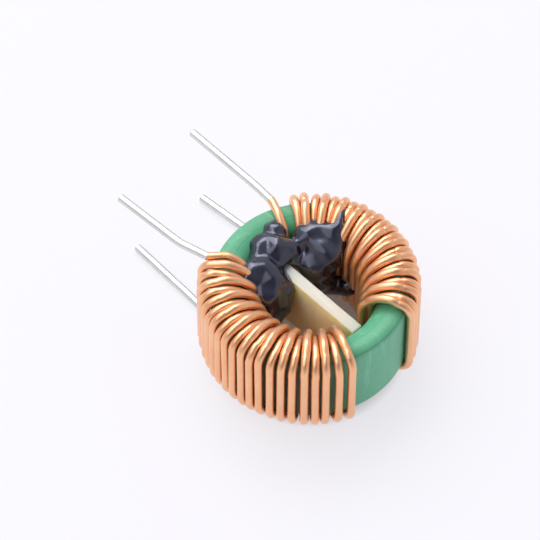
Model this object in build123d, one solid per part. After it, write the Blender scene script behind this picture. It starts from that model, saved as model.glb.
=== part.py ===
from build123d import *
import math
import os

# A two-winding toroidal inductor lying flat: ring axis vertical, four leads along -X.
# Sizes are in millimetres. The front winding is on the -Y half of the ring, the rear one on +Y.

# Ring: a ferrite core sealed in an epoxy coat
coat_outer_diameter = 25.5
coat_bore_diameter = 16.8
coat_height = 12.4
coat_thickness = 0.3
# The edges are rounded by shares of the ring's width
coat_outer_edge_share = 0.276
coat_inner_edge_share = 0.7

# Winding wire, over its enamel, drawn with flat facets and mitred bends
wire_diameter = 1.12
wire_clearance = 0.06
wire_facets = 8
bend_corners = 3
outer_bend_radius = 1.9
front_stand_off = 0.68
rear_stand_off = 0.18

# The wire is wound away from the leads and then back between its first turns.
# The turns of the way back nest between the first ones in the bore, cross under them below,
# and rise to the outer wall on a ramp.
bore_nest_share = 0.85
top_nest_share = 0.55
top_lift_share = 0.5
cross_layer_gap = 0.2
ramp_angle = 45

# Places of the turns, in degrees from -X, with their spacing as shares of the mean spacing
front_first_angle = 37.3
front_last_angle = 157.3
front_spacing_shares = (1.15, 1.15, 1.1, 1.0, 0.95, 0.9, 0.9, 0.95, 0.9, 1.0,
                        0.9, 0.9, 1.05, 1.0, 1.0, 1.05, 0.95, 0.9, 1.15, 1.15)
rear_first_angle = 34.6
rear_last_angle = 156.3
rear_spacing_shares = (1.0, 1.25, 1.0, 0.95, 1.0, 0.95, 0.95, 0.95, 0.95, 0.95, 0.95,
                       0.95, 0.95, 0.95, 1.0, 1.0, 1.05, 1.1, 1.1, 1.25, 0.95)

# Leads: the end of each wire, stripped and dipped in tin. Reaches are from the ring's axis.
# An upper lead drops into the bore at its slot angle.
front_upper_slot_angle = 28.5
front_upper_reach = 26.0
front_upper_tip_offset = 8.8
front_upper_knee_offset = 8.2
front_upper_root_offset = 7.05
front_upper_root_reach = 11.3
rear_upper_slot_angle = 21.5
rear_upper_reach = 27.2
rear_upper_tip_offset = 5.0
rear_upper_knee_offset = 5.0
rear_upper_root_offset = 4.8
front_lower_reach = 26.8
front_lower_tip_offset = 5.65
front_lower_knee_offset = 6.05
front_lower_root_offset = 6.3
rear_lower_reach = 26.8
rear_lower_tip_offset = 6.0
rear_lower_knee_offset = 7.0
rear_lower_root_offset = 7.1
lead_knee_reach = 15.5
lead_root_reach = 12.0
lead_bend_radius = 12.0
lead_bend_corners = 3
strip_gap = 0.2
strip_taper = 0.3
bare_diameter = 1.02
tin_thickness = 0.04
tin_clearance = 0.01
tin_end_thickness = 0.25
tin_end_radius = 0.12

# Divider board across the bore, in the plane between the windings
divider_thickness = 1.6
divider_fit = 0.04
divider_top_drop = 2.0
divider_bottom_rise = 0.6

# Glue that holds the divider's lead end: lobes at shares of the bore radius along and across,
# a depth under the ring's top and a radius as shares of the bore radius.
# Each lobe is turned by two angles that keep its poles out of the cuts.
glue_lobe_tilt = 35
glue_lobe_lean = 20
glue_lobe_shares = (
    (-0.75, 0.00, 0.20, 0.23),
    (-0.79, -0.19, 0.18, 0.20),
    (-0.60, 0.19, 0.20, 0.20),
    (-1.00, 0.18, 0.08, 0.15),
    (-0.67, 0.50, 0.18, 0.24),
    (-0.46, 0.64, 0.18, 0.25),
    (-0.29, 0.64, 0.24, 0.24),
    (-0.38, 0.38, 0.36, 0.30),
    (-0.33, 0.42, 0.64, 0.28),
    (-0.70, -0.38, 0.21, 0.25),
    (-0.68, -0.56, 0.14, 0.21),
    (-0.44, -0.51, 0.33, 0.26),
    (-0.35, -0.38, 0.55, 0.26),
    (-0.26, -0.58, 0.48, 0.15),
)

wire_radius = wire_diameter / 2
bore_layer_step = wire_diameter * bore_nest_share
top_layer_step = wire_diameter * top_nest_share
cross_layer_step = wire_diameter + cross_layer_gap
coat_outer_radius = coat_outer_diameter / 2
bore_radius = coat_bore_diameter / 2
ring_width = coat_outer_radius - bore_radius
coat_outer_edge_radius = ring_width * coat_outer_edge_share
coat_inner_edge_radius = ring_width * coat_inner_edge_share
ring_bottom = wire_radius + wire_clearance + cross_layer_step + wire_radius
ring_top = ring_bottom + coat_height
seat_gap = wire_radius + wire_clearance
inner_bend_radius = coat_inner_edge_radius + seat_gap


def ring_body(outer_radius, inner_radius, bottom, height, outer_edge, inner_edge):
    # A ring of rectangular section with its edges rounded
    width = outer_radius - inner_radius
    section = Pos(inner_radius + width / 2, bottom + height / 2) * Rectangle(width, height)
    section = fillet(section.vertices().group_by(Axis.X)[-1], outer_edge)
    section = fillet(section.vertices().sort_by(Axis.X)[:2], inner_edge)
    return revolve(Plane.XZ * section, Axis.Z)


def place(reach, angle, height, side):
    # A point at a distance from the ring's axis, with its angle counted from -X towards one side
    turned = math.radians(angle)
    return Vector(-reach * math.cos(turned), side * reach * math.sin(turned), height)


def bend(center_reach, center_height, radius, start, turn=90):
    # Corners, as reach and height, of a bend whose straight pieces touch its arc
    step = turn / bend_corners
    arm = radius / math.cos(math.radians(step / 2))
    corners = []
    for index in range(bend_corners):
        turned = math.radians(start + step * (index + 0.5))
        reach = center_reach + arm * math.cos(turned)
        height = center_height + arm * math.sin(turned)
        corners.append((reach, height))
    return corners


def turn_angles(first, last, spacing_shares):
    # Angles of the turns on the outer wall
    unit = (last - first) / sum(spacing_shares)
    angles = [first]
    for share in spacing_shares:
        angles.append(angles[-1] + unit * share)
    return angles


def crossing(corners, inner_reach, inner_angle, outer_reach, outer_angle, side):
    # Corners over or under the ring, turned from the inner angle to the outer one on the way
    points = []
    for reach, height in corners:
        share = min((reach - inner_reach) / (outer_reach - inner_reach), 1)
        points.append(place(reach, inner_angle + share * (outer_angle - inner_angle), height, side))
    return points


def wall_reach(layer):
    # Distance of the wire's middle from the ring's axis in the bore
    return bore_radius - seat_gap - layer * bore_layer_step


def top_inner_bend(layer):
    radius = inner_bend_radius + layer * top_layer_step
    height = ring_top + seat_gap + layer * top_layer_step
    return bend(wall_reach(layer) + radius, height - radius, radius, 90)


def low_height(level):
    # Height of the wire's middle under the ring
    return ring_bottom - seat_gap - level * cross_layer_step


def low_inner_bend(layer, level):
    radius = inner_bend_radius + layer * bore_layer_step
    return bend(wall_reach(layer) + radius, low_height(level) + radius, radius, 180)


def ramp_start(center_reach):
    # Where the wire leaves the lower level for the bend up to the outer wall
    slope = math.radians(ramp_angle)
    rise = cross_layer_step + outer_bend_radius * (1 - math.cos(slope))
    return center_reach + outer_bend_radius * math.sin(slope) - rise / math.tan(slope)


def low_outer_bend(center_reach, level):
    center_height = low_height(0) + outer_bend_radius
    if level == 0:
        return bend(center_reach, center_height, outer_bend_radius, 270)
    rest = bend(center_reach, center_height, outer_bend_radius, 270 + ramp_angle, 90 - ramp_angle)
    return [(ramp_start(center_reach), low_height(level)), *rest]


def winding_route(first, last, spacing_shares, stand_off, side, upper_lead, lower_lead, slot_angle):
    # Middle line of one winding, from the tip of its upper lead to the tip of its lower one
    outer = turn_angles(first, last, spacing_shares)
    count = len(outer)
    inner = [first + (last - first) * index / (count - 1) for index in range(count)]
    outer_reach = coat_outer_radius + wire_radius + stand_off
    outer_middle = outer_reach - outer_bend_radius
    under_reach = ramp_start(outer_middle)
    top_height = ring_top + seat_gap
    route = list(upper_lead)
    for point in top_inner_bend(0):
        route.append(place(point[0], slot_angle, point[1], side))
    here = slot_angle
    here_layer = 0
    here_index = -1
    away = range(count % 2, count, 2)
    back = reversed(range((count + 1) % 2, count, 2))
    for index in [*away, *back]:
        level = 0 if index > here_index else 1
        layer = (count - index) % 2
        under = low_inner_bend(here_layer, level) + low_outer_bend(outer_middle, level)
        route += crossing(under, wall_reach(here_layer), here, under_reach, outer[index], side)
        lift = layer * top_layer_step * top_lift_share
        over = bend(outer_middle, top_height + lift - outer_bend_radius, outer_bend_radius, 0)
        over += top_inner_bend(layer)
        route += crossing(over, wall_reach(layer), inner[index], outer_reach, outer[index], side)
        here = inner[index]
        here_layer = layer
        here_index = index
    root = lower_lead[-1]
    root_angle = math.degrees(math.atan2(side * root.Y, -root.X))
    under = low_inner_bend(here_layer, 1)
    route += crossing(under, wall_reach(here_layer), here, lead_root_reach, root_angle, side)
    return route + list(reversed(lower_lead))


def lead_points(reach, tip_offset, knee_offset, root_offset, height, side, root_reach=lead_root_reach):
    # Tip, knee and root of a lead, on the wire's middle line
    tip = Vector(-reach, side * tip_offset, height)
    knee = Vector(-lead_knee_reach, side * knee_offset, height)
    root = Vector(-root_reach, side * root_offset, height)
    return tip, knee, root


def knee_corners(lead):
    # Corners of the straight pieces that touch the arc at a lead's knee
    tip, knee, root = lead
    inward = ((tip - knee).normalized() + (root - knee).normalized()).normalized()
    turn = (knee - root).get_signed_angle(tip - knee, Vector(0, 0, 1))
    middle = knee + inward * (lead_bend_radius / math.cos(math.radians(turn / 2)))
    step = turn / lead_bend_corners
    arm = inward * (-lead_bend_radius / math.cos(math.radians(step / 2)))
    corners = []
    for index in range(lead_bend_corners):
        corners.append(middle + arm.rotate(Axis.Z, step * (index + 0.5) - turn / 2))
    return list(reversed(corners))


def enamel_end(lead, past):
    # A place on the lead, past the end of its enamel
    tip, knee, root = lead
    return root + (knee - root).normalized() * (strip_gap + past)


def bare_end(lead, short):
    # A place on the lead, short of its tip
    tip, knee, root = lead
    return tip + (knee - tip).normalized() * short


def stripped_lead(lead):
    # The lead's line with the places where its bare end stops and its enamel ends
    bare = [bare_end(lead, tin_end_thickness), *knee_corners(lead), enamel_end(lead, strip_taper)]
    return [*bare, enamel_end(lead, 0), lead[-1]]


def wire_body(route, bare_stations):
    # A faceted wire along a route of straight pieces, mitred at each corner.
    # The stations counted from both ends as bare have the stripped size.
    count = len(route)
    ways = [(route[index + 1] - route[index]).normalized() for index in range(count - 1)]
    start = Plane(route[0], z_dir=ways[0])
    rim = []
    for index in range(wire_facets):
        turned = 2 * math.pi * (index + 0.5) / wire_facets
        rim.append(start.x_dir * math.cos(turned) + start.y_dir * math.sin(turned))
    rims = []
    for index, middle in enumerate(route):
        radius = wire_radius
        if min(index, count - 1 - index) < bare_stations:
            radius = bare_diameter / 2
        before = ways[max(index - 1, 0)]
        after = ways[min(index, count - 2)]
        normal = before + after
        rim = [arm - before * (arm.dot(normal) / before.dot(normal)) for arm in rim]
        rims.append([middle + arm * radius for arm in rim])
    faces = [Face(Wire.make_polygon(rims[0])), Face(Wire.make_polygon(rims[-1]))]
    for near, far in zip(rims, rims[1:]):
        for index in range(wire_facets):
            after = (index + 1) % wire_facets
            faces.append(Face(Wire.make_polygon([near[index], near[after], far[after], far[index]])))
    return Solid(Shell(faces))


def lead_tube(lead, radius, short):
    # A round rod along the stripped end of a lead, stopping short of its tip
    line = (enamel_end(lead, strip_taper), lead[1], bare_end(lead, short))
    path = FilletPolyline(*line, radius=lead_bend_radius)
    return sweep(Plane(path @ 0, z_dir=path % 0) * Circle(radius), path=path)


def lead_tin(lead):
    # A thin closed sleeve of tin on the stripped end of a lead
    bore = bare_diameter / 2 + tin_clearance
    rod = lead_tube(lead, bore + tin_thickness, 0)
    rims = rod.edges().filter_by(GeomType.CIRCLE).sort_by_distance(lead[0])
    rod = fillet(rims[0], tin_end_radius)
    return rod - lead_tube(lead, bore, tin_end_thickness - tin_clearance)


def divider_board():
    half_length = math.sqrt(bore_radius**2 - (divider_thickness / 2) ** 2) - divider_fit
    height = coat_height - divider_top_drop - divider_bottom_rise
    middle = ring_bottom + divider_bottom_rise + height / 2
    return Pos(0, 0, middle) * Box(2 * half_length, divider_thickness, height)


def glue_mass(neighbours):
    lobes = []
    for along, across, depth, radius in glue_lobe_shares:
        middle = Pos(bore_radius * along, bore_radius * across, ring_top - bore_radius * depth)
        lobes.append(middle * Rot(glue_lobe_tilt, glue_lobe_lean) * Sphere(bore_radius * radius))
    mass = lobes[0].fuse(*lobes[1:])
    for neighbour in neighbours:
        mass -= neighbour
    return mass.solids().sort_by(SortBy.VOLUME)[-1]


core = ring_body(
    coat_outer_radius - coat_thickness, bore_radius + coat_thickness,
    ring_bottom + coat_thickness, coat_height - 2 * coat_thickness,
    coat_outer_edge_radius - coat_thickness, coat_inner_edge_radius - coat_thickness,
)
coated_ring = ring_body(
    coat_outer_radius, bore_radius, ring_bottom, coat_height,
    coat_outer_edge_radius, coat_inner_edge_radius,
)

upper_height = ring_top + seat_gap
leads = {
    "front_upper_lead_tin": lead_points(
        front_upper_reach, front_upper_tip_offset, front_upper_knee_offset,
        front_upper_root_offset, upper_height, -1, front_upper_root_reach),
    "front_lower_lead_tin": lead_points(
        front_lower_reach, front_lower_tip_offset, front_lower_knee_offset,
        front_lower_root_offset, low_height(1), -1),
    "rear_upper_lead_tin": lead_points(
        rear_upper_reach, rear_upper_tip_offset, rear_upper_knee_offset,
        rear_upper_root_offset, upper_height, 1),
    "rear_lower_lead_tin": lead_points(
        rear_lower_reach, rear_lower_tip_offset, rear_lower_knee_offset,
        rear_lower_root_offset, low_height(1), 1),
}
front_route = winding_route(
    front_first_angle, front_last_angle, front_spacing_shares, front_stand_off, -1,
    stripped_lead(leads["front_upper_lead_tin"]), stripped_lead(leads["front_lower_lead_tin"]),
    front_upper_slot_angle,
)
rear_route = winding_route(
    rear_first_angle, rear_last_angle, rear_spacing_shares, rear_stand_off, 1,
    stripped_lead(leads["rear_upper_lead_tin"]), stripped_lead(leads["rear_lower_lead_tin"]),
    rear_upper_slot_angle,
)

pieces = {
    "ferrite_core": core,
    "epoxy_coat": coated_ring - core,
    "front_winding": wire_body(front_route, lead_bend_corners + 2),
    "rear_winding": wire_body(rear_route, lead_bend_corners + 2),
    "divider": divider_board(),
}
pieces["glue"] = glue_mass([
    coated_ring, pieces["divider"], pieces["front_winding"], pieces["rear_winding"],
])
for name, lead in leads.items():
    pieces[name] = lead_tin(lead)

# The origin is under the middle of the whole part, on the surface it lies on
box = Compound(list(pieces.values())).bounding_box()
to_origin = Pos(-box.center().X, -box.center().Y, -box.min.Z)
os.makedirs("parts", exist_ok=True)
for name, piece in pieces.items():
    export_step(to_origin * piece, f"parts/{name}.step")
print("ring axis at", tuple(to_origin.position), "ring from", ring_bottom, "to", ring_top)
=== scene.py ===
import bpy
import math
import random
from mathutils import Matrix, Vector


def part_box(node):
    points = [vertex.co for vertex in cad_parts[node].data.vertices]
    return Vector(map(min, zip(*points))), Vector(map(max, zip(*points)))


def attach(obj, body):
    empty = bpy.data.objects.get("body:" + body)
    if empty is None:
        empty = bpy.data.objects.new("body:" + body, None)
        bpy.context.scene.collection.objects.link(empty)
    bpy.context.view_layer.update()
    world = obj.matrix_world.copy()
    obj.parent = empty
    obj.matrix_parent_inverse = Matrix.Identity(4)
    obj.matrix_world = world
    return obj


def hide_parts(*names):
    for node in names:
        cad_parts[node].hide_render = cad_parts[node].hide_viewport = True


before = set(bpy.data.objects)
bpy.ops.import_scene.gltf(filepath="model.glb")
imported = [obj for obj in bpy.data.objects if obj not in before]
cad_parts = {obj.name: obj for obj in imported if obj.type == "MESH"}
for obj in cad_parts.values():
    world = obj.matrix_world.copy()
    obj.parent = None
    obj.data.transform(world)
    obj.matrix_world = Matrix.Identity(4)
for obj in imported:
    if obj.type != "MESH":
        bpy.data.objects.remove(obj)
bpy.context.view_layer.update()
dice = random.Random(11)

# Where the coated ring sits, in metres
ringLow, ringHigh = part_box("epoxy_coat")
boardLow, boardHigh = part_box("divider")
axisPoint = (ringLow + ringHigh) / 2
ring = {
    "outer": (ringHigh.x - ringLow.x) / 2,
    "bore": 0.0084,
    "top": ringHigh.z,
    "bottom": ringLow.z,
    "outerEdge": 0.0012,
    "innerEdge": 0.003045,
    "wall": 0.0003,
    "steps": 180,
    "edgeSteps": 9,
    "waves": 0.00003,
    "waveSize": 0.006,
    "flatFace": 0.9,
    "levelGap": 0.000003,
    "merge": 0.000001,
}


def clearSelection():
    bpy.ops.object.select_all(action="DESELECT")


def activate(piece):
    clearSelection()
    piece.select_set(True)
    bpy.context.view_layer.objects.active = piece


def applyModifier(piece, kind, **settings):
    activate(piece)
    modifier = piece.modifiers.new(kind.title(), kind)
    for setting, value in settings.items():
        setattr(modifier, setting, value)
    bpy.ops.object.modifier_apply(modifier=modifier.name)


def cloudTexture(name, size):
    texture = bpy.data.textures.new(name, "CLOUDS")
    texture.noise_scale = size
    texture.noise_depth = 2
    return texture


def hangOn(piece, name, slotName, material, *nodes):
    # a finished piece gets its name, finish and place in the frame
    activate(piece)
    bpy.ops.object.transform_apply(location=True, rotation=True, scale=True)
    piece.name = name
    piece.data.name = name
    piece.data.materials.clear()
    piece.data.materials.append(material)
    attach(piece, "root")
    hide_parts(*nodes)
    print("made", name, len(piece.data.polygons), "faces")


# Materials

def newFinish(name, **sockets):
    material = bpy.data.materials.new(name)
    material.use_nodes = True
    shader = material.node_tree.nodes["Principled BSDF"]
    for socket, value in sockets.items():
        shader.inputs[socket.replace("_", " ")].default_value = value
    return material


def addNode(material, kind, **inputs):
    node = material.node_tree.nodes.new(kind)
    for socket, value in inputs.items():
        node.inputs[socket].default_value = value
    return node


def joinSockets(material, source, target):
    material.node_tree.links.new(source, target)


def cloudPattern(material, scale, detail=4.0, stretch=(1, 1, 1), coordinates="Object"):
    place = addNode(material, "ShaderNodeTexCoord")
    mapping = addNode(material, "ShaderNodeMapping", Scale=stretch)
    noise = addNode(material, "ShaderNodeTexNoise", Scale=scale, Detail=detail, Roughness=0.55)
    joinSockets(material, place.outputs[coordinates], mapping.inputs["Vector"])
    joinSockets(material, mapping.outputs["Vector"], noise.inputs["Vector"])
    return noise.outputs["Fac"]


def colourRamp(material, source, stops):
    ramp = addNode(material, "ShaderNodeValToRGB")
    elements = ramp.color_ramp.elements
    while len(elements) < len(stops):
        elements.new(0.5)
    for element, (position, colour) in zip(elements, stops):
        element.position = position
        element.color = (*colour, 1)
    joinSockets(material, source, ramp.inputs["Fac"])
    return ramp.outputs["Color"]


def valueRange(material, source, low, high, fromLow=0.3, fromHigh=0.7):
    remap = addNode(material, "ShaderNodeMapRange")
    remap.inputs["From Min"].default_value = fromLow
    remap.inputs["From Max"].default_value = fromHigh
    remap.inputs["To Min"].default_value = low
    remap.inputs["To Max"].default_value = high
    joinSockets(material, source, remap.inputs["Value"])
    return remap.outputs["Result"]


def feed(material, socket, source):
    joinSockets(material, source, material.node_tree.nodes["Principled BSDF"].inputs[socket])


def roughen(material, source, strength, distance):
    bump = addNode(material, "ShaderNodeBump", Strength=strength, Distance=distance)
    joinSockets(material, source, bump.inputs["Height"])
    feed(material, "Normal", bump.outputs["Normal"])


# clear enamel over drawn copper, a little darker and redder in patches
copperLook = {
    "colours": [(0.3, (0.92, 0.475, 0.245)), (0.55, (0.96, 0.525, 0.285)),
                (0.75, (0.975, 0.575, 0.325))],
    "patchScale": 260,
    "metal": 0.88,
    "enamel": {"Coat_Weight": 0.2, "Coat_Roughness": 0.15, "Coat_IOR": 1.5},
    "roughness": (0.28, 0.36),
    "roughScale": 900,
    "drawScale": 1500,
    "drawStrength": 0.04,
    "drawDepth": 0.00003,
}


def copperFinish():
    look = copperLook
    material = newFinish("copperEnamel", Metallic=look["metal"], **look["enamel"])
    patches = cloudPattern(material, look["patchScale"], 3)
    feed(material, "Base Color", colourRamp(material, patches, look["colours"]))
    sheen = cloudPattern(material, look["roughScale"], 2)
    feed(material, "Roughness", valueRange(material, sheen, *look["roughness"]))
    drawing = cloudPattern(material, look["drawScale"], 2)
    roughen(material, drawing, look["drawStrength"], look["drawDepth"])
    return material


tinLook = {
    "colours": [(0.3, (0.66, 0.66, 0.64)), (0.7, (0.76, 0.76, 0.74))],
    "patchScale": 500,
    "metal": 0.9,
    "roughness": (0.20, 0.30),
    "roughScale": 700,
    "dipScale": 900,
    "dipStrength": 0.12,
    "dipDepth": 0.00005,
}


def tinFinish():
    look = tinLook
    material = newFinish("solderTin", Metallic=look["metal"])
    patches = cloudPattern(material, look["patchScale"], 3)
    feed(material, "Base Color", colourRamp(material, patches, look["colours"]))
    sheen = cloudPattern(material, look["roughScale"], 3)
    feed(material, "Roughness", valueRange(material, sheen, *look["roughness"]))
    dips = cloudPattern(material, look["dipScale"], 3)
    roughen(material, dips, look["dipStrength"], look["dipDepth"])
    return material


def multiplied(material, colour, shade, factor=None):
    blend = addNode(material, "ShaderNodeMix")
    blend.data_type = "RGBA"
    blend.blend_type = "MULTIPLY"
    blend.inputs["Factor"].default_value = 1
    if factor:
        joinSockets(material, factor, blend.inputs["Factor"])
    joinSockets(material, colour, blend.inputs[6])
    joinSockets(material, shade, blend.inputs[7])
    return blend.outputs[2]


def reachPattern(material):
    # 0 at the bore, 1 at the outer wall
    place = addNode(material, "ShaderNodeTexCoord")
    flat = addNode(material, "ShaderNodeVectorMath")
    flat.operation = "MULTIPLY"
    flat.inputs[1].default_value = (1, 1, 0)
    away = addNode(material, "ShaderNodeVectorMath")
    away.operation = "DISTANCE"
    away.inputs[1].default_value = (axisPoint.x, axisPoint.y, 0)
    joinSockets(material, place.outputs["Object"], flat.inputs[0])
    joinSockets(material, flat.outputs["Vector"], away.inputs[0])
    return valueRange(material, away.outputs["Value"], 0, 1, ring["bore"], ring["outer"])


# satin epoxy: painted shade lines round the top where creases would be, a paler, duller outer top
# and side wall as painted reflection, pale upright scuffs, and painted shade, browned as painted
# copper reflection, under the turns
coatLook = {
    "gloss": {"Specular_IOR_Level": 0.4, "Coat_Weight": 0.08, "Coat_Roughness": 0.3},
    "colours": [(0.3, (0.09, 0.385, 0.205)), (0.7, (0.115, 0.45, 0.255))],
    "cloudScale": 180,
    # painted reflection: the outer top and the side wall paler, as where they catch the pale room
    "paleReflectionByReach": [(0.5, (1, 1, 1)), (0.56, (1.15, 1.0, 1.03)), (0.94, (1.15, 1.0, 1.03)),
                  (0.985, (1.4, 1.15, 1.25))],
    # painted shade: dark lines at mid-top and just under the outer rim, where creases and a lip
    # would be shaded
    "creaseShadeLines": [(0.47, (1, 1, 1)), (0.5, (0.7, 0.8, 0.74)), (0.52, (1, 1, 1)),
                (0.90, (1, 1, 1)), (0.945, (0.5, 0.64, 0.56)), (0.98, (1, 1, 1))],
    "creaseShadeScale": 120,
    "creaseShadeFaintest": 0.25,
    # painted shade, browned as painted copper reflection, on the coat under the turns
    "shadeUnderTurns": [(0, (1, 1, 1)), (1, (0.85, 0.36, 0.36))],
    "shadeUnderTurnsFrom": (0.0052, 0.0085),
    "scuffs": [(0.56, (1, 1, 1)), (0.68, (1.4, 1.15, 1.25))],
    "scuffScale": 1000,
    "scuffStretch": (1, 1, 0.14),
    "roughness": (0.42, 0.6),
    "dimpleScale": 260,
    "dimpleStrength": 0.15,
    "dimpleDepth": 0.0002,
}


def sidePattern(material):
    # 0 between the windings, 1 well under the turns
    place = addNode(material, "ShaderNodeTexCoord")
    middle = addNode(material, "ShaderNodeMapping", Location=(0, -axisPoint.y, 0))
    split = addNode(material, "ShaderNodeSeparateXYZ")
    sideways = addNode(material, "ShaderNodeMath")
    sideways.operation = "ABSOLUTE"
    joinSockets(material, place.outputs["Object"], middle.inputs["Vector"])
    joinSockets(material, middle.outputs["Vector"], split.inputs["Vector"])
    joinSockets(material, split.outputs["Y"], sideways.inputs[0])
    return valueRange(material, sideways.outputs["Value"], 0, 1, *coatLook["shadeUnderTurnsFrom"])


def coatFinish():
    look = coatLook
    material = newFinish("greenEpoxy", **look["gloss"])
    green = colourRamp(material, cloudPattern(material, look["cloudScale"], 4), look["colours"])
    reach = reachPattern(material)
    # painted reflection: paler outer top and side wall
    green = multiplied(material, green, colourRamp(material, reach, look["paleReflectionByReach"]))
    # painted shade lines round the top, faded in and out by a cloud
    creaseShadeFade = cloudPattern(material, look["creaseShadeScale"], 2)
    faint = valueRange(material, creaseShadeFade, look["creaseShadeFaintest"], 1)
    green = multiplied(material, green, colourRamp(material, reach, look["creaseShadeLines"]), faint)
    # painted shade and copper reflection under the turns
    green = multiplied(material, green, colourRamp(material, sidePattern(material), look["shadeUnderTurns"]))
    scuffs = cloudPattern(material, look["scuffScale"], 4, look["scuffStretch"])
    green = multiplied(material, green, colourRamp(material, scuffs, look["scuffs"]))
    feed(material, "Base Color", green)
    feed(material, "Roughness", valueRange(material, scuffs, *look["roughness"]))
    dimples = cloudPattern(material, look["dimpleScale"], 3)
    roughen(material, dimples, look["dimpleStrength"], look["dimpleDepth"])
    return material


glueLook = {
    "gloss": {"Specular_IOR_Level": 0.9, "Specular_Tint": (0.68, 0.74, 1.0, 1),
              "Coat_Weight": 0.6, "Coat_Roughness": 0.08},
    "colours": [(0.3, (0.004, 0.004, 0.010)), (0.7, (0.009, 0.009, 0.020))],
    "cloudScale": 300,
    "roughness": (0.16, 0.32),
    "roughScale": 420,
    "dimpleStrength": 0.08,
    "dimpleDepth": 0.0003,
}


def glueFinish():
    look = glueLook
    material = newFinish("blackGlue", **look["gloss"])
    clouds = cloudPattern(material, look["cloudScale"], 3)
    feed(material, "Base Color", colourRamp(material, clouds, look["colours"]))
    sheen = cloudPattern(material, look["roughScale"], 3)
    feed(material, "Roughness", valueRange(material, sheen, *look["roughness"]))
    dimples = cloudPattern(material, look["cloudScale"], 2)
    roughen(material, dimples, look["dimpleStrength"], look["dimpleDepth"])
    return material


# fibre board lets some light through
boardLook = {
    "through": {"Subsurface_Weight": 0.9, "Subsurface_Radius": (1.0, 0.8, 0.5),
                "Subsurface_Scale": 0.003},
    "fibreScale": 900,
    "fibreStrength": 0.2,
    "fibreDepth": 0.00005,
    "face": {"colours": [(0.3, (0.88, 0.73, 0.42)), (0.7, (0.95, 0.83, 0.53))],
             "stretch": (1, 1, 0.4), "roughness": (0.35, 0.50)},
    "sawn": {"colours": [(0.3, (0.68, 0.63, 0.52)), (0.7, (0.80, 0.76, 0.66))],
             "stretch": (0.15, 3, 3), "roughness": (0.50, 0.65)},
}


def boardFinish(name, side):
    look = boardLook
    material = newFinish(name, **look["through"])
    fibres = cloudPattern(material, look["fibreScale"], 5, side["stretch"])
    feed(material, "Base Color", colourRamp(material, fibres, side["colours"]))
    feed(material, "Roughness", valueRange(material, fibres, *side["roughness"]))
    roughen(material, fibres, look["fibreStrength"], look["fibreDepth"])
    return material


coreLook = {
    "colours": [(0.3, (0.012, 0.012, 0.013)), (0.7, (0.035, 0.035, 0.037))],
    "grainScale": 800,
    "roughness": (0.6, 0.8),
    "roughScale": 600,
}


def coreFinish():
    look = coreLook
    material = newFinish("ferrite")
    grain = cloudPattern(material, look["grainScale"], 4)
    feed(material, "Base Color", colourRamp(material, grain, look["colours"]))
    dullness = cloudPattern(material, look["roughScale"], 3)
    feed(material, "Roughness", valueRange(material, dullness, *look["roughness"]))
    return material


copper = copperFinish()
tin = tinFinish()
print("finishes ready")

# Wire on the solid wire's route, round in section and in its bends. Angles are counted
# from the lead side, and spacing gives each turn's share of the outer wall.
wire = {
    "radius": 0.00056,
    "gap": 0.00006,
    "boreNest": 0.000952,
    "topNest": 0.000616,
    "topLift": 0.5,
    "crossStep": 0.00132,
    "outerBend": 0.0019,
    "ramp": 45,
    "bendCorners": 4,
    "wobble": 0.00005,
    "sides": 6,
    "smooth": 3,
}
frontWire = {
    "side": -1,
    "first": 37.3,
    "last": 157.3,
    "standOff": 0.00068,
    "lowBend": 0.0029,
    "slot": 28.5,
    "spacing": (0.95, 1.25, 0.95, 1.1, 0.95, 0.95, 0.9, 0.95, 0.9, 1.0,
                0.9, 0.9, 1.05, 1.0, 1.0, 1.05, 0.95, 0.9, 1.15, 1.15),
    "upper": {"reach": 0.0260, "tip": 0.0088, "knee": 0.0082, "root": 0.00705, "rootReach": 0.0113},
    "lower": {"reach": 0.0268, "tip": 0.00565, "knee": 0.00605, "root": 0.0063,
              "rootReach": 0.0120},
}
rearWire = {
    "side": 1,
    "first": 34.6,
    "last": 155.0,
    "standOff": 0.00018,
    "lowBend": 0.0022,
    "slot": 21.5,
    "spacing": (1.0, 1.25, 1.0, 0.95, 1.0, 0.95, 0.95, 0.95, 0.95, 0.95, 0.95,
                0.95, 0.95, 0.95, 1.0, 1.0, 1.05, 1.1, 1.1, 1.25, 0.95),
    "upper": {"reach": 0.0272, "tip": 0.0050, "knee": 0.0050, "root": 0.0048, "rootReach": 0.0120},
    "lower": {"reach": 0.0268, "tip": 0.0060, "knee": 0.0070, "root": 0.0071, "rootReach": 0.0120},
}
lead = {
    "kneeReach": 0.0155,
    "turnIn": 0.0120,
    "kneeSpread": 0.0016,
    "stripGap": 0.0004,
    "tinStart": 0.0002,
    "tinRadius": 0.00056,
    "dipPlaces": (0.2, 0.4, 0.6, 0.8),
    "dips": 0.03,
    "tipSteps": ((0.00024, 1), (0.00012, 1), (0.000036, 0.9), (0, 0.7)),  # back from the tip, width
}
seat = wire["radius"] + wire["gap"]
innerBend = ring["innerEdge"] + seat


def onRing(reach, angle, height, side):
    turned = math.radians(angle)
    return Vector((
        axisPoint.x - reach * math.cos(turned),
        axisPoint.y + side * reach * math.sin(turned),
        height,
    ))


def roundBend(reach, height, radius, start, turn=90):
    # tangent point, corners round the arc, tangent point
    step = turn / wire["bendCorners"]
    stretch = 1 / math.cos(math.radians(step / 2))
    turns = [(start, 1)]
    for index in range(wire["bendCorners"]):
        turns.append((start + step * (index + 0.5), stretch))
    turns.append((start + turn, 1))
    corners = []
    for angle, longer in turns:
        arm = radius * longer
        turned = math.radians(angle)
        corners.append((reach + arm * math.cos(turned), height + arm * math.sin(turned)))
    return corners


def boreReach(layer):
    return ring["bore"] - seat - layer * wire["boreNest"]


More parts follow.
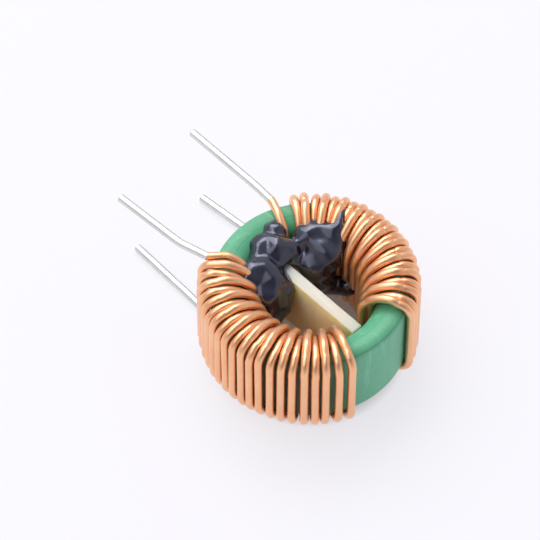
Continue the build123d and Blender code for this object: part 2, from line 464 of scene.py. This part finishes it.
def bendOverTop(layer):
    radius = innerBend + layer * wire["topNest"]
    height = ring["top"] + seat + layer * wire["topNest"]
    return roundBend(boreReach(layer) + radius, height - radius, radius, 90)


def heightBelow(level):
    return ring["bottom"] - seat - level * wire["crossStep"]


def bendBelow(layer, level):
    radius = innerBend + layer * wire["boreNest"]
    return roundBend(boreReach(layer) + radius, heightBelow(level) + radius, radius, 180)


def rampStart(outerReach, radius):
    slope = math.radians(wire["ramp"])
    rise = wire["crossStep"] + radius * (1 - math.cos(slope))
    return outerReach - radius * (1 - math.sin(slope)) - rise / math.tan(slope)


def bendUp(outerReach, radius, level):
    # up to the outer wall, over a ramp from the lower level
    middleReach = outerReach - radius
    middleHeight = heightBelow(0) + radius
    if level == 0:
        return roundBend(middleReach, middleHeight, radius, 270)
    rest = roundBend(middleReach, middleHeight, radius, 270 + wire["ramp"], 90 - wire["ramp"])
    return [(rampStart(outerReach, radius), heightBelow(level)), *rest]


def acrossRing(corners, innerReach, innerAngle, outerReach, outerAngle, side):
    points = []
    for reach, height in corners:
        share = min((reach - innerReach) / (outerReach - innerReach), 1)
        points.append(onRing(reach, innerAngle + share * (outerAngle - innerAngle), height, side))
    return points


def leadPoints(sizes, height, side):
    def at(reach, offset):
        return Vector((axisPoint.x - reach, axisPoint.y + side * offset, height))
    return (at(sizes["reach"], sizes["tip"]), at(lead["kneeReach"], sizes["knee"]),
            at(sizes["rootReach"], sizes["root"]))


def windingRoute(winding):
    side = winding["side"]
    spacing = winding["spacing"]
    unit = (winding["last"] - winding["first"]) / sum(spacing)
    outer = [winding["first"]]
    for share in spacing:
        outer.append(outer[-1] + unit * share)
    count = len(outer)
    inner = [winding["first"] + (winding["last"] - winding["first"]) * index / (count - 1)
             for index in range(count)]
    outerReach = ring["outer"] + wire["radius"] + winding["standOff"]
    outerMiddle = outerReach - wire["outerBend"]
    underReach = rampStart(outerReach, winding["lowBend"])
    topHeight = ring["top"] + seat
    knee, root = leadPoints(winding["upper"], topHeight, side)[1:]
    points = [root + (knee - root).normalized() * lead["stripGap"], root]
    points += [onRing(reach, winding["slot"], height, side) for reach, height in bendOverTop(0)]
    here, hereLayer, hereIndex = winding["slot"], 0, -1
    away = range(count % 2, count, 2)
    back = reversed(range((count + 1) % 2, count, 2))
    for index in [*away, *back]:
        level = 0 if index > hereIndex else 1
        layer = (count - index) % 2
        under = bendBelow(hereLayer, level) + bendUp(outerReach, winding["lowBend"], level)
        points += acrossRing(under, boreReach(hereLayer), here, underReach, outer[index], side)
        lift = layer * wire["topNest"] * wire["topLift"]
        over = roundBend(outerMiddle, topHeight + lift - wire["outerBend"], wire["outerBend"], 0)
        over += bendOverTop(layer)
        points += acrossRing(over, boreReach(layer), inner[index], outerReach, outer[index], side)
        here, hereLayer, hereIndex = inner[index], layer, index
    knee, root = leadPoints(winding["lower"], heightBelow(1), side)[1:]
    rootAngle = math.degrees(math.atan2(side * (root.y - axisPoint.y), axisPoint.x - root.x))
    out = bendBelow(hereLayer, 1)
    points += acrossRing(out, boreReach(hereLayer), here, lead["turnIn"], rootAngle, side)
    points += [root, root + (knee - root).normalized() * lead["stripGap"]]
    # a wound wire is never quite straight
    for point in points[2:-2]:
        point += Vector([dice.uniform(-1, 1) * wire["wobble"] for axis in range(3)])
    return points


def roundTube(points, radius, widths=None):
    clearSelection()
    bpy.ops.curve.primitive_nurbs_path_add(location=(0, 0, 0))
    piece = bpy.context.object
    curve = piece.data
    curve.splines.clear()
    spline = curve.splines.new("NURBS")
    spline.points.add(len(points) - 1)
    for index, point in enumerate(points):
        spline.points[index].co = (*point, 1)
        spline.points[index].radius = widths[index] if widths else 1
    spline.order_u = 3
    spline.use_endpoint_u = True
    spline.resolution_u = wire["smooth"]
    curve.bevel_depth = radius
    curve.bevel_resolution = wire["sides"]
    curve.use_fill_caps = True
    bpy.ops.object.convert(target="MESH")
    bpy.ops.object.shade_smooth()
    return piece


def makeWinding(winding, name, node):
    piece = roundTube(windingRoute(winding), wire["radius"])
    hangOn(piece, name, "enamelled_copper", copper, node)


def makeTin(winding, which, height, name, node):
    tip, knee, root = leadPoints(winding[which], height, winding["side"])
    out = (tip - knee).normalized()
    inward = (root - knee).normalized()
    start = knee + out * lead["kneeSpread"]
    points = [root - inward * lead["tinStart"], knee + inward * lead["kneeSpread"], knee, start]
    widths = [1] * len(points)
    run = (tip - start).length
    for share in lead["dipPlaces"]:
        points.append(start + out * run * share)
        widths.append(1 + dice.uniform(-lead["dips"], lead["dips"]))
    for back, width in lead["tipSteps"]:
        points.append(tip - out * back)
        widths.append(width)
    piece = roundTube(points, lead["tinRadius"], widths)
    hangOn(piece, name, "tin", tin, node)


makeWinding(frontWire, "frontWinding", "front_winding")
makeWinding(rearWire, "rearWinding", "rear_winding")
upperHeight = ring["top"] + seat
makeTin(frontWire, "upper", upperHeight, "frontUpperTin", "front_upper_lead_tin")
makeTin(frontWire, "lower", heightBelow(1), "frontLowerTin", "front_lower_lead_tin")
makeTin(rearWire, "upper", upperHeight, "rearUpperTin", "rear_upper_lead_tin")
makeTin(rearWire, "lower", heightBelow(1), "rearLowerTin", "rear_lower_lead_tin")


# Epoxy coat: a drum, bored through, with its four rims rounded, then thinned to a skin
def pickNone(mode):
    bpy.ops.object.mode_set(mode="EDIT")
    bpy.ops.mesh.select_mode(type=mode)
    bpy.ops.mesh.select_all(action="DESELECT")
    bpy.ops.object.mode_set(mode="OBJECT")


def pickRims(piece, reach):
    pickNone("EDGE")
    for edge in piece.data.edges:
        ends = [piece.data.vertices[index].co for index in edge.vertices]
        level = abs(ends[0].z - ends[1].z) < ring["levelGap"]
        onRim = all(abs((end - axisPoint).xy.length - reach) < ring["wall"] for end in ends)
        edge.select = level and onRim


def makeCoat():
    clearSelection()
    bpy.ops.mesh.primitive_cylinder_add(vertices=ring["steps"], radius=ring["outer"],
                                        depth=ring["top"] - ring["bottom"], location=axisPoint)
    piece = bpy.context.object
    bpy.ops.object.transform_apply(location=True, rotation=True, scale=True)
    pickNone("FACE")
    for polygon in piece.data.polygons:
        polygon.select = abs(polygon.normal.z) > ring["flatFace"]
    bpy.ops.object.mode_set(mode="EDIT")
    bpy.ops.mesh.inset(thickness=ring["outer"] - ring["bore"])
    bpy.ops.mesh.bridge_edge_loops()
    bpy.ops.object.mode_set(mode="OBJECT")
    for reach, rounding in ((ring["outer"], ring["outerEdge"]), (ring["bore"], ring["innerEdge"])):
        pickRims(piece, reach)
        bpy.ops.object.mode_set(mode="EDIT")
        bpy.ops.mesh.bevel(offset=rounding, segments=ring["edgeSteps"], affect="EDGES")
        bpy.ops.object.mode_set(mode="OBJECT")
    bpy.ops.object.mode_set(mode="EDIT")
    bpy.ops.mesh.select_all(action="SELECT")
    bpy.ops.mesh.remove_doubles(threshold=ring["merge"])
    bpy.ops.mesh.normals_make_consistent(inside=False)
    bpy.ops.object.mode_set(mode="OBJECT")
    applyModifier(piece, "DISPLACE", texture=cloudTexture("coatWaves", ring["waveSize"]),
                  strength=ring["waves"], mid_level=0.5, texture_coords="LOCAL")
    applyModifier(piece, "SOLIDIFY", thickness=ring["wall"], offset=-1)
    activate(piece)
    bpy.ops.object.shade_smooth()
    hangOn(piece, "epoxyCoat", "green_epoxy", coatFinish(), "epoxy_coat")


makeCoat()

# Divider board, with pale sawn edges and tan faces
board = {
    "edge": 0.00012,
    "segments": 3,
    "smoothAngle": 40,
    "broadSide": 0.7,
}


def makeBoard():
    clearSelection()
    bpy.ops.mesh.primitive_cube_add(size=1, location=(boardLow + boardHigh) / 2)
    piece = bpy.context.object
    piece.scale = boardHigh - boardLow
    bpy.ops.object.transform_apply(location=True, rotation=True, scale=True)
    bpy.ops.object.mode_set(mode="EDIT")
    bpy.ops.mesh.select_all(action="SELECT")
    bpy.ops.mesh.bevel(offset=board["edge"], segments=board["segments"], affect="EDGES")
    bpy.ops.object.mode_set(mode="OBJECT")
    activate(piece)
    bpy.ops.object.shade_smooth_by_angle(angle=math.radians(board["smoothAngle"]))
    face = boardFinish("boardFace", boardLook["face"])
    edge = boardFinish("boardEdge", boardLook["sawn"])
    hangOn(piece, "dividerBoard", "cream_board", face, "divider")
    piece.data.materials.append(edge)
    for polygon in piece.data.polygons:
        polygon.material_index = 0 if abs(polygon.normal.y) > board["broadSide"] else 1


makeBoard()

# Glue, lobes run together: along and across the bore, depth under the ring's top and radius,
# all in millimetres, and one thin tongue between two turns
perMetre = 1000
glue = {
    "roundness": 4,
    "voxel": 0.00016,
    "slack": 0.5,
    "running": 22,
    "swell": 0.00026,
    "patches": 460,
    "softening": 32,
    "lobes": [
        (-9.02, 2.37, 0.70, 1.42),
        (-8.49, -0.27, 1.00, 1.62),
        (-7.55, -1.36, 1.40, 1.58),
        (-7.04, 0.81, 0.80, 1.62),
        (-5.95, 1.89, 1.20, 1.32),
        (-4.91, 1.95, 2.20, 1.00),
        (-5.98, 0.14, 1.50, 1.25),
        (-5.77, 4.02, 0.90, 1.05),
        (-5.70, 5.21, 1.10, 1.90),
        (-4.99, 6.49, 1.20, 2.00),
        (-3.91, 7.03, 0.30, 1.25),
        (-2.88, 7.10, 1.20, 1.50),
        (-3.86, 5.38, 1.70, 2.10),
        (-2.44, 5.38, 2.02, 2.02),
        (-3.05, 3.90, 3.20, 2.25),
        (-2.85, 3.95, 5.40, 2.15),
        (-2.35, 4.65, 7.20, 1.55),
        (-1.90, 5.45, 8.10, 1.38),
        (-0.90, 6.45, 8.20, 1.25),
        (0.20, 6.65, 7.60, 1.25),
        (-3.01, 8.29, 0.30, 1.00),
        (-6.58, -3.71, 1.40, 1.76),
        (-6.03, -2.82, 1.50, 1.76),
        (-6.04, -4.94, 1.40, 1.46),
        (-4.94, -2.82, 2.60, 2.55),
        (-3.70, -4.28, 2.77, 1.95),
        (-3.49, -1.74, 3.30, 1.70),
        (-2.94, -3.19, 4.62, 1.95),
        (-2.18, -4.87, 4.03, 1.20),
        (-1.95, -4.55, 5.70, 1.15),
    ],
    "tongue": {"place": (-4.05, 9.10, -0.85), "halfSizes": (1.95, 0.62, 0.58), "turn": 122},
}


def addLobe(along, across, depth, halfSizes, turn=0):
    clearSelection()
    place = Vector((axisPoint.x + along / perMetre, axisPoint.y + across / perMetre,
                    ring["top"] - depth / perMetre))
    bpy.ops.mesh.primitive_ico_sphere_add(subdivisions=glue["roundness"], radius=1, location=place)
    lobe = bpy.context.object
    lobe.scale = [size / perMetre for size in halfSizes]
    lobe.rotation_euler.z = math.radians(turn)
    return lobe


def makeGlue():
    lobes = []
    for along, across, depth, radius in glue["lobes"]:
        lobes.append(addLobe(along, across, depth, [radius] * 3))
    tongue = glue["tongue"]
    lobes.append(addLobe(*tongue["place"], tongue["halfSizes"], tongue["turn"]))
    clearSelection()
    for lobe in lobes:
        lobe.select_set(True)
    bpy.context.view_layer.objects.active = lobes[0]
    bpy.ops.object.join()
    piece = bpy.context.object
    bpy.ops.object.transform_apply(location=True, rotation=True, scale=True)
    # the lobes run into each other, then set with broad patches and soft creases
    applyModifier(piece, "REMESH", mode="VOXEL", voxel_size=glue["voxel"])
    applyModifier(piece, "SMOOTH", factor=glue["slack"], iterations=glue["running"])
    applyModifier(piece, "DISPLACE", strength=glue["swell"], mid_level=0)
    applyModifier(piece, "DECIMATE", ratio=glue["patches"] / len(piece.data.polygons) / 2)
    applyModifier(piece, "REMESH", mode="VOXEL", voxel_size=glue["voxel"])
    applyModifier(piece, "SMOOTH", factor=glue["slack"], iterations=glue["softening"])
    activate(piece)
    bpy.ops.object.shade_smooth()
    hangOn(piece, "glueMass", "black_glue", glueFinish(), "glue")


makeGlue()

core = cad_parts["ferrite_core"]
core.data.materials.clear()
core.data.materials.append(coreFinish())
print("core has its finish")

# Stage: pale floor, soft light from the lead side, camera at the photo's angle
stage = {
    "floorSize": 4.0,
    "bounce": (0.84, 0.83, 0.86),
    "shown": (0.21, 0.208, 0.214),
    "glow": (0.715, 0.708, 0.745),
    # painted shadow on the floor inside the ring, warm as painted copper bounce
    "paintedBoreShadow": (0.125, 0.098, 0.085),
    "boreReach": 0.0088,
    "openReach": 0.0125,
    "lensPlace": (0.2014, -0.2017, 0.4230),
    "azimuth": 46.0,
    "elevation": 55.08,
    "lens": 263.2,
    "softboxes": [  # place, size, power
        ((-0.44, 0.06, 0.66), 0.6, 3.2),
        ((-0.33, 0.34, 0.68), 0.40, 1.2),
        ((-0.12, -0.38, 0.70), 0.70, 1.7),
    ],
    "sensor": 36,
    "nearest": 0.01,
}
room = {
    "strength": 0.7,
    "dimSide": (0.4118, -0.3976, 0.8200),
    "pale": (0.83, (0.95, 0.94, 1.0)),
    "dim": (0.97, (0.30, 0.29, 0.32)),
}


def lightPathShare(tree):
    # 1 on camera, glossy and transmission rays
    path = tree.nodes.new("ShaderNodeLightPath")
    total = path.outputs["Is Camera Ray"]
    for ray in ("Is Glossy Ray", "Is Transmission Ray"):
        highest = tree.nodes.new("ShaderNodeMath")
        highest.operation = "MAXIMUM"
        tree.links.new(total, highest.inputs[0])
        tree.links.new(path.outputs[ray], highest.inputs[1])
        total = highest.outputs["Value"]
    return total


def makeFloor():
    clearSelection()
    bpy.ops.mesh.primitive_plane_add(size=stage["floorSize"], location=(0, 0, 0))
    floor = bpy.context.object
    floor.name = "floor"
    material = bpy.data.materials.new("paleFloor")
    material.use_nodes = True
    tree = material.node_tree
    tree.nodes.clear()
    bounce = tree.nodes.new("ShaderNodeBsdfDiffuse")
    bounce.inputs["Color"].default_value = (*stage["bounce"], 1)
    shown = tree.nodes.new("ShaderNodeBsdfDiffuse")
    shown.inputs["Color"].default_value = (*stage["shown"], 1)
    glow = tree.nodes.new("ShaderNodeEmission")
    # little of that glow on the floor inside the ring, a painted shadow there, warmed as painted
    # copper bounce light
    place = tree.nodes.new("ShaderNodeTexCoord")
    away = tree.nodes.new("ShaderNodeVectorMath")
    away.operation = "DISTANCE"
    away.inputs[1].default_value = (axisPoint.x, axisPoint.y, 0)
    fade = tree.nodes.new("ShaderNodeMapRange")
    fade.inputs["From Min"].default_value = stage["boreReach"]
    fade.inputs["From Max"].default_value = stage["openReach"]
    tint = tree.nodes.new("ShaderNodeValToRGB")
    tint.color_ramp.elements[0].color = (*stage["paintedBoreShadow"], 1)
    tint.color_ramp.elements[1].color = (*stage["glow"], 1)
    tree.links.new(place.outputs["Object"], away.inputs[0])
    tree.links.new(away.outputs["Value"], fade.inputs["Value"])
    tree.links.new(fade.outputs["Result"], tint.inputs["Fac"])
    tree.links.new(tint.outputs["Color"], glow.inputs["Color"])
    lifted = tree.nodes.new("ShaderNodeAddShader")
    mix = tree.nodes.new("ShaderNodeMixShader")
    output = tree.nodes.new("ShaderNodeOutputMaterial")
    tree.links.new(shown.outputs["BSDF"], lifted.inputs[0])
    tree.links.new(glow.outputs["Emission"], lifted.inputs[1])
    tree.links.new(lightPathShare(tree), mix.inputs["Fac"])
    tree.links.new(bounce.outputs["BSDF"], mix.inputs[1])
    tree.links.new(lifted.outputs["Shader"], mix.inputs[2])
    tree.links.new(mix.outputs["Shader"], output.inputs["Surface"])
    floor.data.materials.append(material)


def towardsCamera():
    turned, raised = math.radians(stage["azimuth"]), math.radians(stage["elevation"])
    level = math.cos(raised)
    return Vector((math.sin(turned) * level, -math.cos(turned) * level, math.sin(raised)))


def makeWorld():
    # a pale room, dimmer on one side
    world = bpy.data.worlds.new("room")
    bpy.context.scene.world = world
    world.use_nodes = True
    tree = world.node_tree
    background = tree.nodes["Background"]
    place = tree.nodes.new("ShaderNodeTexCoord")
    facing = tree.nodes.new("ShaderNodeVectorMath")
    facing.operation = "DOT_PRODUCT"
    facing.inputs[1].default_value = room["dimSide"]
    ramp = tree.nodes.new("ShaderNodeValToRGB")
    half = tree.nodes.new("ShaderNodeMapRange")
    half.inputs["From Min"].default_value = -1
    for element, (position, colour) in zip(ramp.color_ramp.elements, (room["pale"], room["dim"])):
        element.position = position
        element.color = (*colour, 1)
    tree.links.new(place.outputs["Generated"], facing.inputs[0])
    tree.links.new(facing.outputs["Value"], half.inputs["Value"])
    tree.links.new(half.outputs["Result"], ramp.inputs["Fac"])
    background.inputs["Strength"].default_value = room["strength"]
    tree.links.new(ramp.outputs["Color"], background.inputs["Color"])


def makeLight(place, size, power):
    clearSelection()
    bpy.ops.object.light_add(type="AREA", location=place)
    light = bpy.context.object
    light.data.size = size
    light.data.energy = power
    light.rotation_euler = (axisPoint - Vector(place)).to_track_quat("-Z", "Y").to_euler()


def makeCamera():
    clearSelection()
    foot = Vector((axisPoint.x, axisPoint.y, ring["bottom"]))
    bpy.ops.object.camera_add(location=foot + Vector(stage["lensPlace"]))
    camera = bpy.context.object
    camera.rotation_euler = (-towardsCamera()).to_track_quat("-Z", "Y").to_euler()
    camera.data.lens = stage["lens"]
    camera.data.sensor_width = stage["sensor"]
    camera.data.clip_start = stage["nearest"]
    bpy.context.scene.camera = camera


makeFloor()
makeWorld()
for place, size, power in stage["softboxes"]:
    makeLight(place, size, power)
makeCamera()
bpy.context.scene.view_settings.view_transform = "Standard"
print("stage ready")
